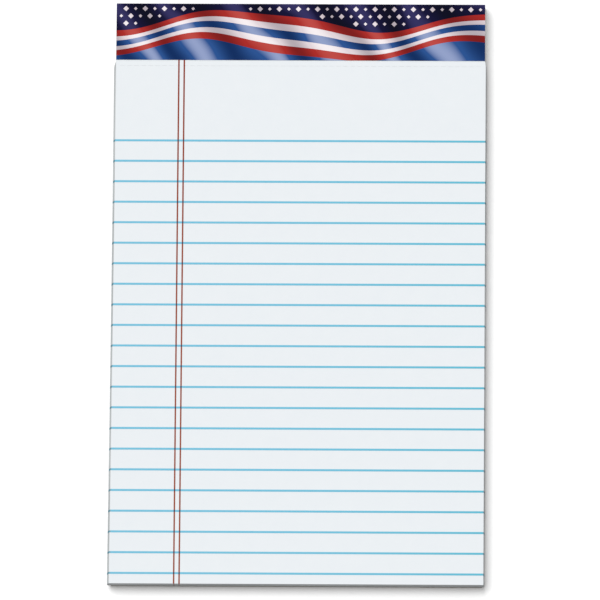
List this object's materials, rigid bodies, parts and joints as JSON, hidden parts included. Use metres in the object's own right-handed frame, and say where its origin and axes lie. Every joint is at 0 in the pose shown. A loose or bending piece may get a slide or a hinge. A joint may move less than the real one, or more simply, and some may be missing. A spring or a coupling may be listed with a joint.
{
  "type": "legal pad",
  "caption": "Small ruled writing pad with a left margin, bound at the head by a printed paper strip over wire staples, on a stiff backing board.",
  "frame": {"origin": "middle of the pad, on the plane of its back: the outer face of the binding strip's back flap", "axes": "+X across the page to the right, +Y up the page to the bound head, +Z out of the ruled page"},
  "size_m": [0.127, 0.2032, 0.0056],
  "materials": {
    "writing_paper": "matte, uncoated",
    "chipboard": "matte, grey-brown",
    "strip_paper": "coated, very dark blue, nearly matte",
    "staple_wire": "galvanised",
    "blue_ink": "matte light blue ink on paper",
    "red_ink": "matte brownish red ink on paper",
    "strip_blue_print": "coated, deep blue, nearly matte",
    "strip_red_print": "coated, deep red, nearly matte",
    "strip_white_print": "coated, white, nearly matte"
  },
  "bodies": {
    "root": {"sheet_block": "writing_paper", "backing_board": "chipboard", "staples": "staple_wire", "binding_strip": "strip_paper", "blue_rules": "blue_ink", "red_margin_lines": "red_ink", "print_blue": "strip_blue_print", "print_red": "strip_red_print", "print_white": "strip_white_print"}
  },
  "joints": []
}
